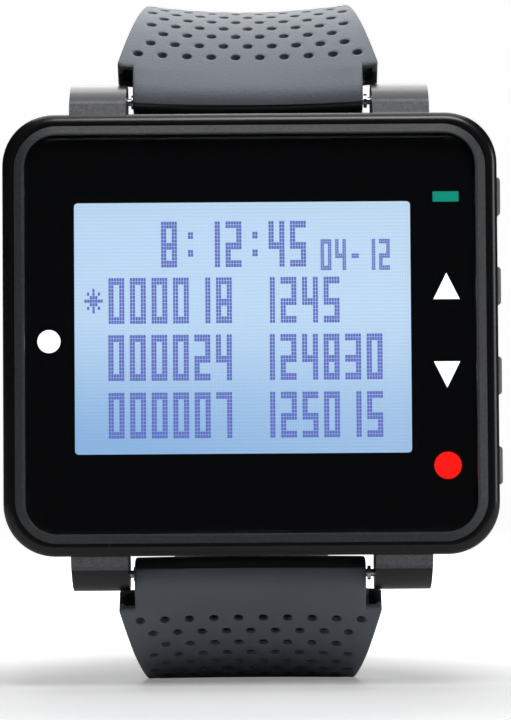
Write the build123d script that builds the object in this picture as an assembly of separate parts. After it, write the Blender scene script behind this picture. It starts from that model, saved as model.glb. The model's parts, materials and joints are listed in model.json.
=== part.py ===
"""Wrist-watch pager: a rectangular display head on an open, unbuckled rubber strap.

Design frame, in millimetres: X to the wearer's button side, Y from the glass towards the wrist,
Z towards the upper strap, with zero at the centre of the front edge of the bezel. Every piece is
then moved so that the origin is under the middle of the whole object, on the surface it stands on.
"""
import os
from math import atan2, cos, degrees, hypot, radians, sin

from build123d import *

os.makedirs("parts", exist_ok=True)

# ---- driving dimensions of the case ----
CASE_W, CASE_H, CASE_R = 51.5, 46.0, 5.4        # widest outline of the case
RIM_W, RIM_H, RIM_R = 48.9, 43.3, 4.5           # outer edge of the sloping bezel rim
RIM_RISE = 0.8                                  # the rim stands this far in front of the case
RIM_EDGE, RIM_SLOPE = 0.5, 58.0                 # depth of its outer edge, and its face's slope
LENS_W, LENS_H, LENS_R = 46.6, 41.2, 3.3
LENS_FRONT, LENS_BACK = 0.12, 1.3
SPLIT_Y = 9.0                                   # joint between front housing and rear cover
BACK_Y = 13.0
WALL = 2.05
FRONT_WALL_BACK = 2.5
FLOOR_IN = 11.6                                 # inner face of the rear cover
GAP = 0.1                                       # assembly clearance

# ---- display ----
VIEW_X, VIEW_Z = -0.8, 0.6                      # centre of the display
VIEW_W, VIEW_H = 34.9, 26.1                     # lit area
SYMBOL_X = 20.35
LED_Z, UP_Z, DOWN_Z, STOP_Z = 14.1, 4.8, -4.4, -13.8
DOT_X, DOT_Z, DOT_R = -20.9, -0.7, 1.2
PRINT = 0.06                                    # thickness of the printed marks

# ---- side buttons ----
BUTTON_Z = [0.28 + 9.4 * (1.5 - i) for i in range(4)]
BUTTON_Y = 5.7
BUTTON_TALL, BUTTON_DEEP = 4.0, 3.0
BUTTON_PROUD = 0.55

# ---- strap joints ----
BAR_Y, BAR_Z = 8.0, 25.0                        # spring bar axis
LUG_IN, LUG_OUT = 12.85, 18.75                  # inner and outer faces of a lug, from the middle
BARREL_R = 1.75
TONGUE = 12.0                                   # half-width of the strap between the lugs
BAR_R, BAR_BORE_R = 0.75, 0.83
TIP_R, LUG_HOLE_R = 0.4, 0.47

# ---- strap ----
THICK = 3.2
NEAR_Y, NEAR_Z, NEAR_R = 29.3, 7.4, 28.4        # middle and centreline radius of the bend by the lugs
SHOULDER_S = 2.42                               # from the spring bar to the shoulder, along the strap
UPPER_FAR_R = 40.0                              # centreline radius of the upper strap's far bend
FLAT_EASE, FLAT_EASE_R = 14.0, 10.0             # degrees and radius that bring the lower strap flat
FLAT_END_Y = 66.0
TAIL_R, TAIL_TIP = 32.0, 8.0
HALF_SHOULDER, HALF_TOP, HALF_END = 13.75, 11.0, 10.0     # half-widths: shoulder, top of the loop, end
TAPER_A = 16.0                                  # the upper strap tapers on for this many degrees

BEND_START = degrees(atan2(BAR_Z - NEAR_Z, BAR_Y - NEAR_Y))      # of the spring bar about the bend
SHOULDER_A = BEND_START - degrees(SHOULDER_S / hypot(BAR_Z - NEAR_Z, BAR_Y - NEAR_Y))
UPPER_FAR_Z = NEAR_Z + NEAR_R - UPPER_FAR_R
BUCKLE_Y, BUCKLE_Z = NEAR_Y + UPPER_FAR_R, UPPER_FAR_Z
EASE_Y = NEAR_Y - (NEAR_R - FLAT_EASE_R) * sin(radians(FLAT_EASE))
EASE_Z = -NEAR_Z - (NEAR_R - FLAT_EASE_R) * cos(radians(FLAT_EASE))
FLAT_Z = EASE_Z - FLAT_EASE_R                   # centreline of the flat stretch
TAIL_Z = FLAT_Z + TAIL_R

# ---- the whole object stands on the flat stretch, centred front to back ----
STAND_Z = FLAT_Z - THICK / 2
MID_Y = (FLAT_END_Y + TAIL_R + THICK / 2) / 2
PLACE = Pos(0, -MID_Y, -STAND_Z)


def write(name, shape):
    """Write one node's solids at their place over the stand."""
    export_step(PLACE * shape, f"parts/{name}.step")


def slab(outline, front, back):
    """An X-Z outline carried from depth front to depth back."""
    return extrude(Plane.XZ.offset(-back) * outline, amount=back - front)


def block(x0, x1, y0, y1, z0, z1):
    """A box between two corners."""
    return Pos((x0 + x1) / 2, (y0 + y1) / 2, (z0 + z1) / 2) * Box(x1 - x0, y1 - y0, z1 - z0)


def rod_x(radius, x0, x1, y, z):
    """A round rod along X."""
    return Pos((x0 + x1) / 2, y, z) * Rot(0, 90, 0) * Cylinder(radius, x1 - x0)


def rod_y(radius, y0, y1, x, z):
    """A round rod along Y."""
    return Pos(x, (y0 + y1) / 2, z) * Rot(90, 0, 0) * Cylinder(radius, y1 - y0)


def across(face, half):
    """A Y-Z face carried to both sides of the middle plane."""
    return extrude(Plane.YZ * face, amount=half, both=True)


def ring_sector(cy, cz, inner, outer, a0, a1):
    """Y-Z face between two radii about (cy, cz), from angle a0 to a1 off +Y."""
    far = CenterArc((cy, cz), outer, a0, a1 - a0)
    near = CenterArc((cy, cz), inner, a0, a1 - a0)
    sides = [Line(far @ 0, near @ 0), Line(far @ 1, near @ 1)]
    return make_face([far.edge(), near.edge(), sides[0].edge(), sides[1].edge()])


CORNERS = [(sx * 21.3, sz * 18.6) for sx in (-1, 1) for sz in (-1, 1)]
POST_R = 2.1


# ---- case ----
def lug():
    """Side profile of one lug at the top of the case: a sloping face, then a long rounded end."""
    end_z = BAR_Z + BARREL_R
    crease = (1.6, 24.1)
    end_r = ((BAR_Y - crease[0]) ** 2 + (end_z - crease[1]) ** 2) / (2 * (end_z - crease[1]))
    round_end = RadiusArc(crease, (BAR_Y, end_z), end_r)
    boss = CenterArc((BAR_Y, BAR_Z), BARREL_R, 90, -90)
    root = Polyline((BAR_Y + BARREL_R, BAR_Z), (BAR_Y + BARREL_R, 24.0), (SPLIT_Y, CASE_H / 2 + 0.1),
                    (SPLIT_Y, 21.6), (RIM_RISE + 0.1, 21.2), (RIM_RISE + 0.1, 21.8), crease)
    face = make_face([round_end.edge(), boss.edge(), *root.edges()])
    body = extrude(Plane.YZ * face, amount=LUG_OUT - LUG_IN)
    return Pos(LUG_IN, 0, 0) * body - rod_x(LUG_HOLE_R, LUG_IN - 1, LUG_IN + 1.35, BAR_Y, BAR_Z)


def front_housing():
    """Moulded front half: rim, side wall, display ledge, screw posts and the four lugs."""
    outer = slab(RectangleRounded(CASE_W, CASE_H, CASE_R), RIM_RISE, SPLIT_Y)
    outer = fillet(outer.edges().group_by(Axis.Y)[0], 1.0)
    edge = RectangleRounded(RIM_W, RIM_H, RIM_R)
    rim = slab(edge, RIM_EDGE, RIM_RISE + 0.4)
    rim += extrude(Plane.XZ.offset(-RIM_EDGE) * edge, amount=RIM_EDGE, taper=RIM_SLOPE)
    one = lug()
    pair = one + mirror(one, Plane.YZ)
    body = outer + rim + pair + mirror(pair, Plane.XY)
    inside = RectangleRounded(CASE_W - 2 * WALL, CASE_H - 2 * WALL, CASE_R - WALL)
    body -= slab(inside, FRONT_WALL_BACK, SPLIT_Y)
    for x, z in CORNERS:
        body += rod_y(POST_R, FRONT_WALL_BACK - 0.2, SPLIT_Y, x, z)
        body -= rod_y(0.6, SPLIT_Y - 5.0, SPLIT_Y, x, z)
    body -= slab(RectangleRounded(LENS_W + 2 * GAP, LENS_H + 2 * GAP, LENS_R), -1, 1.5)
    window = Pos(VIEW_X, VIEW_Z) * RectangleRounded(VIEW_W + 1.4, VIEW_H + 1.4, 0.8)
    body -= slab(window, 1, FRONT_WALL_BACK)
    body -= block(SYMBOL_X - 1.5, SYMBOL_X + 1.5, 1, FRONT_WALL_BACK, LED_Z - 0.75, LED_Z + 0.75)
    for z in BUTTON_Z:
        body -= block(CASE_W / 2 - WALL - 1, CASE_W / 2 + 1, BUTTON_Y - BUTTON_DEEP / 2 - 0.08,
                      BUTTON_Y + BUTTON_DEEP / 2 + 0.08, z - BUTTON_TALL / 2 - 0.08,
                      z + BUTTON_TALL / 2 + 0.08)
    return body


CONTACT_X = [6.0 + 3.2 * i for i in range(4)]
CONTACT_Z = 9.0


def rear_cover():
    """Back shell that carries the gasket groove, the screw counterbores and the contact holes."""
    cover = slab(RectangleRounded(CASE_W, CASE_H, CASE_R), SPLIT_Y, BACK_Y)
    cover = fillet(cover.edges().group_by(Axis.Y)[-1], 1.8)
    inside = RectangleRounded(CASE_W - 2 * WALL, CASE_H - 2 * WALL, CASE_R - WALL)
    cover -= slab(inside, SPLIT_Y, FLOOR_IN)
    groove = RectangleRounded(49.9, 44.4, 4.6) - RectangleRounded(48.7, 43.2, 4.0)
    cover -= slab(groove, SPLIT_Y, SPLIT_Y + 0.6)
    for x, z in CORNERS:
        cover += rod_y(POST_R, SPLIT_Y, FLOOR_IN + 0.2, x, z)
        cover -= rod_y(0.95, SPLIT_Y, BACK_Y, x, z)
        cover -= rod_y(1.6, 11.7, BACK_Y, x, z)
    for x in CONTACT_X:
        cover -= rod_y(0.9, FLOOR_IN, BACK_Y, x, CONTACT_Z)
    return cover


def case_gasket():
    ring = RectangleRounded(49.8, 44.3, 4.55) - RectangleRounded(48.8, 43.3, 4.05)
    return slab(ring, SPLIT_Y, SPLIT_Y + 0.55)


def case_screws():
    """Four pan-head screws, driven from the back."""
    screws = []
    for x, z in CORNERS:
        screw = rod_y(1.4, 11.75, 12.8, x, z) + rod_y(0.58, 5.5, 11.75, x, z)
        screws.append(screw - block(x - 0.9, x + 0.9, 12.4, 13.0, z - 0.17, z + 0.17))
    return Compound(children=screws)


# ---- window and display ----
def triangle(z, up):
    """Equilateral-looking mark, 2.7 mm each way."""
    tip = 1.37 if up else -1.37
    points = [(-1.37, -tip), (1.37, -tip), (0, tip)]
    return Pos(SYMBOL_X, z) * make_face(Polyline(*points, close=True))


def display_pieces():
    lens = slab(RectangleRounded(LENS_W, LENS_H, LENS_R), LENS_FRONT, LENS_BACK)
    write("window_lens", chamfer(lens.edges().group_by(Axis.Y)[0], 0.25))
    marks = [slab(face, LENS_BACK, LENS_BACK + PRINT) for face in (
        Pos(DOT_X, DOT_Z) * Circle(DOT_R), triangle(UP_Z, True), triangle(DOWN_Z, False))]
    write("key_symbols", Compound(children=marks))
    write("stop_symbol", slab(Pos(SYMBOL_X, STOP_Z) * Circle(1.42), LENS_BACK, LENS_BACK + PRINT))
    write("led_window", slab(Pos(SYMBOL_X, LED_Z) * Rectangle(2.7, 1.06), LENS_BACK, LENS_BACK + PRINT))
    mask = RectangleRounded(LENS_W, LENS_H, LENS_R)
    mask -= Pos(VIEW_X, VIEW_Z) * RectangleRounded(VIEW_W, VIEW_H, 0.4)
    mask -= Pos(SYMBOL_X, LED_Z) * Rectangle(2.4, 0.9)
    write("window_mask", slab(mask, LENS_BACK + PRINT, LENS_BACK + PRINT + 0.1))
    write("status_led", block(SYMBOL_X - 1.3, SYMBOL_X + 1.3, 1.52, 2.4, LED_Z - 0.5, LED_Z + 0.5))

    left, right = VIEW_X - 19.2, VIEW_X + 19.2
    top = VIEW_Z + 15.0
    write("lcd_front_glass", block(left, right, 2.6, 3.1, VIEW_Z - 14.4, top))
    write("lcd_rear_glass", block(left, right, 3.12, 3.62, VIEW_Z - 17.4, top))
    write("lcd_driver", block(VIEW_X - 7, VIEW_X + 7, 2.65, 3.12, VIEW_Z - 16.3, VIEW_Z - 14.7))
    light = block(left, right, 3.7, 5.1, VIEW_Z - 14.4, top)
    write("lcd_backlight", light)
    frame = block(left - 0.9, right + 0.9, 2.5, 5.4, VIEW_Z - 18.3, top + 0.9)
    frame -= block(left - 0.1, right + 0.1, 2.5, 5.2, VIEW_Z - 17.5, top + 0.1)
    frame -= block(left + 1, right - 1, 5.1, 5.5, VIEW_Z - 16, top - 1)
    frame -= block(VIEW_X - 8.2, VIEW_X + 8.2, 2.5, 5.5, VIEW_Z - 18.4, VIEW_Z - 15.5)
    for x, z in CORNERS:
        frame -= rod_y(POST_R + 0.1, 2, 6, x, z)
    write("lcd_frame", frame)
    tail = VIEW_Z - 18.0
    strip = [block(VIEW_X - 8, VIEW_X + 8, 3.0, 3.12, tail - 0.06, tail + 1.3),
             block(VIEW_X - 8, VIEW_X + 8, 3.0, 6.99, tail - 0.06, tail + 0.06),
             block(VIEW_X - 8, VIEW_X + 8, 6.87, 6.99, tail - 1.4, tail + 0.06)]
    write("lcd_flex", strip[0] + strip[1] + strip[2])


# ---- electronics ----
BOARD_FRONT, BOARD_BACK = 7.0, 7.8


def board_pieces():
    board = slab(RectangleRounded(45.0, 41.2, 2.5), BOARD_FRONT, BOARD_BACK)
    for x, z in CORNERS:
        board -= rod_y(POST_R + 0.25, BOARD_FRONT - 1, BOARD_BACK + 1, x, z)
    write("main_board", board)
    write("microcontroller", block(6, 14, BOARD_BACK, 8.8, 3.6, 11.6))
    shield = block(5, 18, BOARD_BACK, 9.5, -9.5, 1.5)
    write("radio_receiver", fillet(shield.edges().group_by(Axis.Y)[-1], 0.4))
    crystal = slab(Pos(18.6, 6.5) * SlotOverall(4.4, 1.9, rotation=90), BOARD_BACK, 9.3)
    write("crystal", crystal)
    chips = []
    for i in range(7):
        chips.append(block(5.2 + 1.9 * i, 6.2 + 1.9 * i, BOARD_BACK, 8.25, 2.0, 2.5))
        chips.append(block(5.2 + 1.9 * i, 6.2 + 1.9 * i, BOARD_BACK, 8.3, -11.4, -10.8))
    chips.append(block(-18.6, -14.6, 5.6, BOARD_FRONT, -19.6, -17.9))
    write("small_components", Compound(children=chips))
    write("antenna_rod", block(-16, 16, 8.5, 10.9, -18.9, -16.5))
    coil = block(-11, 11, 8.0, 11.4, -19.4, -16.0) - block(-12, 12, 8.5, 10.9, -18.9, -16.5)
    write("antenna_coil", coil)
    write("buzzer", rod_y(5.2, 10.0, 11.5, 12.5, -4.2))
    contacts = [rod_y(0.85, 10.8, 12.95, x, CONTACT_Z) for x in CONTACT_X]
    write("charge_contacts", Compound(children=contacts))


def battery_pieces():
    pack = block(-21.0, 2.6, 7.95, 11.4, -13.6, 11.6)
    write("battery", fillet(pack.edges().filter_by(Axis.Z), 0.9))
    write("battery_socket", block(5.0, 8.4, BOARD_BACK, 9.2, 12.3, 14.6))
    for name, x, z in (("battery_lead_red", -1.4, 14.0), ("battery_lead_black", 0.6, 12.9)):
        path = FilletPolyline((x, 9.0, 11.6), (x, 9.0, z), (5.0, 8.6, z), radius=0.5)
        start = Plane(origin=path @ 0, z_dir=path % 0)
        write(name, sweep(start * Circle(0.25), path=path))


def motor_pieces():
    """Pager motor: can with a shaft, an off-centre weight that spins on it, and a rubber cradle."""
    y, z = 9.75, 17.1
    can = rod_x(1.6, -9.0, 2.0, y, z) + rod_x(0.3, 2.0, 6.4, y, z)
    write("motor_can", can)
    cradle = block(-8.0, 1.0, BOARD_BACK, FLOOR_IN, z - 1.95, z + 1.95)
    write("motor_cradle", cradle - rod_x(1.62, -10, 3, y, z))
    weight = across(ring_sector(y, z, 0.35, 1.55, 190, 350), 1.75)
    hub = rod_x(0.75, -1.75, 1.75, 0, 0) - rod_x(0.35, -2, 2, 0, 0)
    write("motor_rotor", Pos(4.4, 0, 0) * weight + Pos(4.4, y, z) * hub)


def button_pieces():
    """Four side keys, each with the switch it works and that switch's own plunger."""
    wall = CASE_W / 2
    inner = wall - WALL
    for number, z in enumerate(BUTTON_Z, 1):
        cap = block(inner - 0.6, wall + BUTTON_PROUD, BUTTON_Y - BUTTON_DEEP / 2,
                    BUTTON_Y + BUTTON_DEEP / 2, z - BUTTON_TALL / 2, z + BUTTON_TALL / 2)
        cap = fillet(cap.edges().group_by(Axis.X)[-1], 0.4)
        flange = block(inner - 0.65, inner - 0.05, BUTTON_Y - 1.9, BUTTON_Y + 1.25, z - 2.45, z + 2.45)
        write(f"side_button_{number}", cap + flange)
        foot = inner - 0.65
        body = block(19.8, foot - 0.75, BUTTON_Y - 1.3, BOARD_FRONT, z - 1.9, z + 1.9)
        body -= rod_x(0.75, foot - 1.75, foot, BUTTON_Y, z)
        write(f"side_switch_{number}", body)
        write(f"switch_plunger_{number}", rod_x(0.7, foot - 1.4, foot, BUTTON_Y, z))


# ---- spring bars ----
def spring_bar_pieces():
    """Each bar is a tube with a sprung tip at each end that snaps into a lug."""
    for name, side in (("upper", 1), ("lower", -1)):
        z = side * BAR_Z
        tube = rod_x(BAR_R, -11.0, 11.0, BAR_Y, z) - rod_x(0.5, -11.5, 11.5, BAR_Y, z)
        write(f"spring_bar_{name}", tube)
        write(f"bar_spring_{name}", rod_x(0.42, -9.55, 9.55, BAR_Y, z) - rod_x(0.3, -10, 10, BAR_Y, z))
        tip = rod_x(0.42, 9.6, 12.15, BAR_Y, z) + rod_x(BAR_R, 12.15, 12.5, BAR_Y, z)
        tip += rod_x(TIP_R, 12.5, 13.85, BAR_Y, z)
        write(f"bar_tip_{name}_right", tip)
        write(f"bar_tip_{name}_left", mirror(tip, Plane.YZ))


# ---- strap ----
def section(y, z, heading, half):
    """Corners of a strap cross-section, square to its heading (degrees off +Y)."""
    out = Vector(0, -sin(radians(heading)), cos(radians(heading))) * (THICK / 2)
    middle = Vector(0, y, z)
    reach = Vector(half, 0, 0)
    return [middle - reach - out, middle + reach - out, middle + reach + out, middle - reach + out]


def skin(stations):
    """Closed flat-faced solid through a row of cross-sections."""
    faces = [stations[0], stations[-1]]
    for a, b in zip(stations, stations[1:]):
        faces += [[a[0], a[1], b[1], b[0]], [a[3], a[2], b[2], b[3]]]
        faces += [[a[1], a[2], b[2]], [a[1], b[2], b[1]], [a[0], a[3], b[3]], [a[0], b[3], b[0]]]
    return Solid(Shell([Face(Wire.make_polygon(corners)) for corners in faces]))


def near_half(share):
    """Half-width beside the lugs, easing in from the shoulder at 0 to the top of the loop at 1."""
    return HALF_TOP + (HALF_SHOULDER - HALF_TOP) * (1 - share) ** 1.6


def tongue(side):
    """The end between the lugs: barrel, heel against the case, and the run up to the shoulder."""
    a0, a1 = SHOULDER_A - 2, BEND_START
    root = across(ring_sector(NEAR_Y, NEAR_Z, NEAR_R - THICK / 2, NEAR_R + THICK / 2, a0, a1), TONGUE)
    barrel = rod_x(BARREL_R, -TONGUE, TONGUE, BAR_Y, BAR_Z)
    wall = CASE_H / 2 + GAP
    heel = across(make_face(Polyline((BAR_Y, wall), (BAR_Y + 1.3, wall), (BAR_Y + 1.9, 24.0),
                                     (BAR_Y + 1.7, BAR_Z), (BAR_Y, BAR_Z), close=True)), TONGUE)
    end = root + barrel + heel - rod_x(BAR_BORE_R, -TONGUE - 1, TONGUE + 1, BAR_Y, BAR_Z)
    return end if side > 0 else mirror(end, Plane.XY)


def strap_upper():
    """Buckle side: shoulders, tapering bend, plain round bend, and the eye for the buckle."""
    steps = 12
    stations = []
    for i in range(steps + 1):
        angle = SHOULDER_A + (90 - SHOULDER_A) * i / steps
        y, z = NEAR_Y + NEAR_R * cos(radians(angle)), NEAR_Z + NEAR_R * sin(radians(angle))
        stations.append(section(y, z, angle - 90, near_half(i / steps)))
    for i in range(1, 5):
        down = TAPER_A * i / 4
        y, z = NEAR_Y + UPPER_FAR_R * sin(radians(down)), UPPER_FAR_Z + UPPER_FAR_R * cos(radians(down))
        stations.append(section(y, z, -down, HALF_TOP + (HALF_END - HALF_TOP) * i / 4))
    strap = skin(stations) + tongue(1)
    inner, outer = UPPER_FAR_R - THICK / 2, UPPER_FAR_R + THICK / 2
    plain = ring_sector(NEAR_Y, UPPER_FAR_Z, inner, outer, 0, 90 - TAPER_A)
    strap += across(plain, HALF_END)
    strap += rod_x(1.9, -HALF_END, HALF_END, BUCKLE_Y, BUCKLE_Z)
    strap -= rod_x(BAR_BORE_R, -HALF_END - 1, HALF_END + 1, BUCKLE_Y, BUCKLE_Z)
    return strap - block(-1.8, 1.8, BUCKLE_Y - 3, BUCKLE_Y + 4, BUCKLE_Z - 3, BUCKLE_Z + 6.5)


HOLE_ANGLES = [20 + 11.5 * i for i in range(7)]


def strap_lower():
    """Tail side: shoulders, bend, the flat stretch it stands on, and the bend with the holes."""
    steps = 10
    stations = []
    total = SHOULDER_A - 90
    for i in range(steps + 1):
        angle = SHOULDER_A + (90 + FLAT_EASE - SHOULDER_A) * i / steps
        y, z = NEAR_Y + NEAR_R * cos(radians(angle)), -NEAR_Z - NEAR_R * sin(radians(angle))
        stations.append(section(y, z, 90 - angle, near_half((SHOULDER_A - angle) / total)))
    for i in range(1, 4):
        angle = FLAT_EASE * (1 - i / 3)
        y, z = EASE_Y - FLAT_EASE_R * sin(radians(angle)), EASE_Z - FLAT_EASE_R * cos(radians(angle))
        stations.append(section(y, z, -angle, near_half((total - angle) / total)))
    stations.append(section(FLAT_END_Y, FLAT_Z, 0, HALF_END))
    strap = skin(stations) + tongue(-1)
    bend = ring_sector(FLAT_END_Y, TAIL_Z, TAIL_R - THICK / 2, TAIL_R + THICK / 2, -90, 0)
    strap += across(bend, HALF_END)
    back = FLAT_END_Y + TAIL_R
    tip = fillet(Rectangle(2 * HALF_END, TAIL_TIP).vertices().sort_by(Axis.Y)[-2:], 6.0)
    strap += slab(Pos(0, TAIL_Z + TAIL_TIP / 2) * tip, back - THICK / 2, back + THICK / 2)
    for angle in HOLE_ANGLES:
        y, z = FLAT_END_Y + TAIL_R * sin(radians(angle)), TAIL_Z - TAIL_R * cos(radians(angle))
        drill = Rot(angle, 0, 0) * Cylinder(1.15, 2 * THICK)
        strap -= Pos(0, y, z) * drill
    return strap


# ---- keepers and buckle ----
KEEPER_WALL = 1.3
TAIL_ROOM = THICK + 0.5                         # a keeper also holds the tail, over the strap
BUCKLE_THICK = 3.2


def keeper(angle, wide, fit):
    """A loop round the upper strap at an angle down from its top, with room for the tail."""
    reach = degrees(wide / 2 / UPPER_FAR_R)
    a0, a1 = 90 - angle - reach, 90 - angle + reach
    low, high = UPPER_FAR_R - THICK / 2 - fit, UPPER_FAR_R + THICK / 2 + fit + TAIL_ROOM
    outer = ring_sector(NEAR_Y, UPPER_FAR_Z, low - KEEPER_WALL, high + KEEPER_WALL, a0, a1)
    inner = ring_sector(NEAR_Y, UPPER_FAR_Z, low, high, a0 - 2, a1 + 2)
    return across(outer, HALF_END + fit + KEEPER_WALL) - across(inner, HALF_END + fit)


def buckle_pieces():
    """Steel frame hanging from its bar, with the prong resting on the frame's far end."""
    y, z = BUCKLE_Y, BUCKLE_Z
    outline = RectangleRounded(30.0, 21.4, 3.0)
    window = Pos(0, 2.0) * RectangleRounded(22.6, 18.2, 1.2)
    plate = slab(Pos(0, z - 7.0) * (outline - window), y - BUCKLE_THICK / 2, y + BUCKLE_THICK / 2)
    plate -= block(-11.2, 11.2, y - 2, y + 2, z + 0.5, z + 5)
    plate = plate - rod_x(BAR_R, -13.2, 13.2, y, z)
    write("buckle_frame", plate)
    write("buckle_bar", rod_x(BAR_R, -13.2, 13.2, y, z))
    ring = rod_x(1.6, -1.4, 1.4, y, z) - rod_x(BAR_BORE_R, -2, 2, y, z)
    rest = y + BUCKLE_THICK / 2 + 0.05
    slant = Polyline((y + 0.2, z - 1.2), (y + 1.55, z - 1.2), (rest + 1.85, z - 13.5), (rest + 1.85, z - 17.0),
                     (rest, z - 17.0), (rest, z - 13.4), close=True)
    tongue_bar = across(make_face(slant), 1.2)
    write("buckle_prong", ring + (tongue_bar - rod_x(BAR_BORE_R, -2, 2, y, z)))


write("front_housing", front_housing())
write("rear_cover", rear_cover())
write("case_gasket", case_gasket())
write("case_screws", case_screws())
display_pieces()
board_pieces()
battery_pieces()
motor_pieces()
button_pieces()
spring_bar_pieces()
write("strap_upper", strap_upper())
write("strap_lower", strap_lower())
write("keeper_fixed", keeper(68, 5.0, 0.0))
write("keeper_free", keeper(48, 5.0, 0.3))
buckle_pieces()
print(f"origin in design frame: y {MID_Y:.3f}, z {STAND_Z:.3f}; buckle bar {BUCKLE_Y:.3f}, {BUCKLE_Z:.3f}")
print(f"far bend centre y {NEAR_Y:.3f}, z {UPPER_FAR_Z:.3f}; flat from y {EASE_Y:.3f}")
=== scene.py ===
"""Wrist-watch pager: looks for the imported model, in metres, in the model's own frame."""

import json
from math import cos, radians, sin

import bmesh
import bpy
import numpy as np
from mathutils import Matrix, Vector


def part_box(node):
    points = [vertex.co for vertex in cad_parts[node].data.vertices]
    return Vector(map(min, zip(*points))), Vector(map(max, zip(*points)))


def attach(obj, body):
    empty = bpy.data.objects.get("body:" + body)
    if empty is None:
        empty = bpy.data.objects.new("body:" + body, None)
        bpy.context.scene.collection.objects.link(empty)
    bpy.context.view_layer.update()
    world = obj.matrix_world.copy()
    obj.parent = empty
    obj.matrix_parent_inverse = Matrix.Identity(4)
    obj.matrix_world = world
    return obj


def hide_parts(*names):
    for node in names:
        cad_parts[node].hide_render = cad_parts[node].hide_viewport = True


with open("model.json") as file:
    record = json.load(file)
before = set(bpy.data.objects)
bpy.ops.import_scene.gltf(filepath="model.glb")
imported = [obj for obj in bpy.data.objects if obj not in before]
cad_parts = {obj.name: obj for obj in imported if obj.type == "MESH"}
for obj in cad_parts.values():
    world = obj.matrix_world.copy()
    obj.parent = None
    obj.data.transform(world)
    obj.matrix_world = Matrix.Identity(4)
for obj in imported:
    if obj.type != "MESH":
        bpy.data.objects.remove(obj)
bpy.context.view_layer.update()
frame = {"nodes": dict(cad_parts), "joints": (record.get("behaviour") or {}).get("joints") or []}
MM = 0.001
NODES = frame["nodes"]
JOINT = {joint["name"]: joint for joint in frame["joints"]}
scene = bpy.context.scene

# ---- camera ----
# A long lens in front of the display, a little low and looking up, so that both strap ends show
# over and under the head. The picture's long side is the lens's sensor side.
FRONT_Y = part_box("front_housing")[0].y
HEAD_Z = (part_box("window_lens")[0].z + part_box("window_lens")[1].z) / 2
CAMERA_AWAY = 330 * MM
CAMERA_UP = radians(2.4)
CAMERA_ROLL = radians(0.4)
VIEW_TALL = 74.4 * MM
AIM = (0.4 * MM, FRONT_Y, HEAD_Z - 2.8 * MM)

camera = bpy.data.objects.new("camera", bpy.data.cameras.new("camera"))
camera.data.lens = camera.data.sensor_width * CAMERA_AWAY / VIEW_TALL
camera.data.clip_start = 0.01
camera.location = (AIM[0], AIM[1] - CAMERA_AWAY * cos(CAMERA_UP), AIM[2] - CAMERA_AWAY * sin(CAMERA_UP))
camera.rotation_euler = (radians(90) + CAMERA_UP, CAMERA_ROLL, 0)
scene.collection.objects.link(camera)
scene.camera = camera

# ---- studio ----
# A white paper sweep and four soft lamps: a key lamp high in front, a wide one overhead, one behind
# and a weak one on the right. The paper ends just in front of the watch, so the glass reflects nothing.
scene.view_settings.view_transform = "Standard"


def put(tree, kind, inputs=None, **settings):
    """Adds a shader node with its settings; inputs maps a socket's name or number to a value or link."""
    made = tree.nodes.new("ShaderNode" + kind)
    for key, value in settings.items():
        setattr(made, key, value)
    for key, value in (inputs or {}).items():
        if isinstance(value, bpy.types.NodeSocket):
            tree.links.new(value, made.inputs[key])
        else:
            made.inputs[key].default_value = value
    return made


def blank(name):
    """An empty node material and its output node."""
    material = bpy.data.materials.new(name)
    material.use_nodes = True
    material.node_tree.nodes.clear()
    return material, put(material.node_tree, "OutputMaterial")


def from_grid(name, points):
    """One sheet of quads over a grid of points, shape (rows, columns, 3)."""
    rows, columns = points.shape[:2]
    index = np.arange(rows * columns).reshape(rows, columns)
    quads = np.stack([index[:-1, :-1], index[:-1, 1:], index[1:, 1:], index[1:, :-1]], -1).reshape(-1, 4)
    mesh = bpy.data.meshes.new(name)
    mesh.from_pydata(points.reshape(-1, 3).tolist(), [], quads.tolist())
    thing = bpy.data.objects.new(name, mesh)
    scene.collection.objects.link(thing)
    return thing


SWEEP_HALF, SWEEP_FRONT, SWEEP_BACK, SWEEP_BEND, SWEEP_TALL = 2.4, 0.16, 1.5, 0.35, 2.4


def sweep_sheet():
    """Paper sweep: level from the front to the bend, a quarter circle, then straight up."""
    turn = np.linspace(0, np.pi / 2, 24)
    along = np.r_[-SWEEP_FRONT, SWEEP_BACK + SWEEP_BEND * np.sin(turn), SWEEP_BACK + SWEEP_BEND]
    up = np.r_[0, SWEEP_BEND * (1 - np.cos(turn)), SWEEP_TALL]
    wide = np.array([-SWEEP_HALF, SWEEP_HALF])
    return np.stack(np.broadcast_arrays(wide[None, :], along[:, None], up[:, None]), -1)


paper, out = blank("studio_paper")
away = put(paper.node_tree, "VectorMath", {
    0: put(paper.node_tree, "TexCoord").outputs["Object"], 1: (0, FRONT_Y, 0)}, operation="DISTANCE")
# Painted glow: the camera sees the paper glow, weakly next to the watch and more strongly away from it; other
# rays see plain grey paper.
paper_glow = put(paper.node_tree, "MapRange", {
    "Value": away.outputs["Value"], "From Min": 0.035, "From Max": 0.16, "To Min": 0.22, "To Max": 0.95})
seen = put(paper.node_tree, "BsdfPrincipled", {
    "Base Color": (0.80, 0.80, 0.80, 1), "Roughness": 0.9, "Specular IOR Level": 0.1,
    "Emission Color": (1, 1, 1, 1), "Emission Strength": paper_glow.outputs[0]})
felt = put(paper.node_tree, "BsdfDiffuse", {"Color": (0.55, 0.55, 0.55, 1)})
rays = put(paper.node_tree, "LightPath")
shade = put(paper.node_tree, "MixShader", {
    0: rays.outputs["Is Camera Ray"], 1: felt.outputs[0], 2: seen.outputs[0]})
paper.node_tree.links.new(shade.outputs[0], out.inputs["Surface"])
sweep = from_grid("studio_sweep", sweep_sheet())
sweep.data.materials.append(paper)
sweep.data.shade_smooth()


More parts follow.
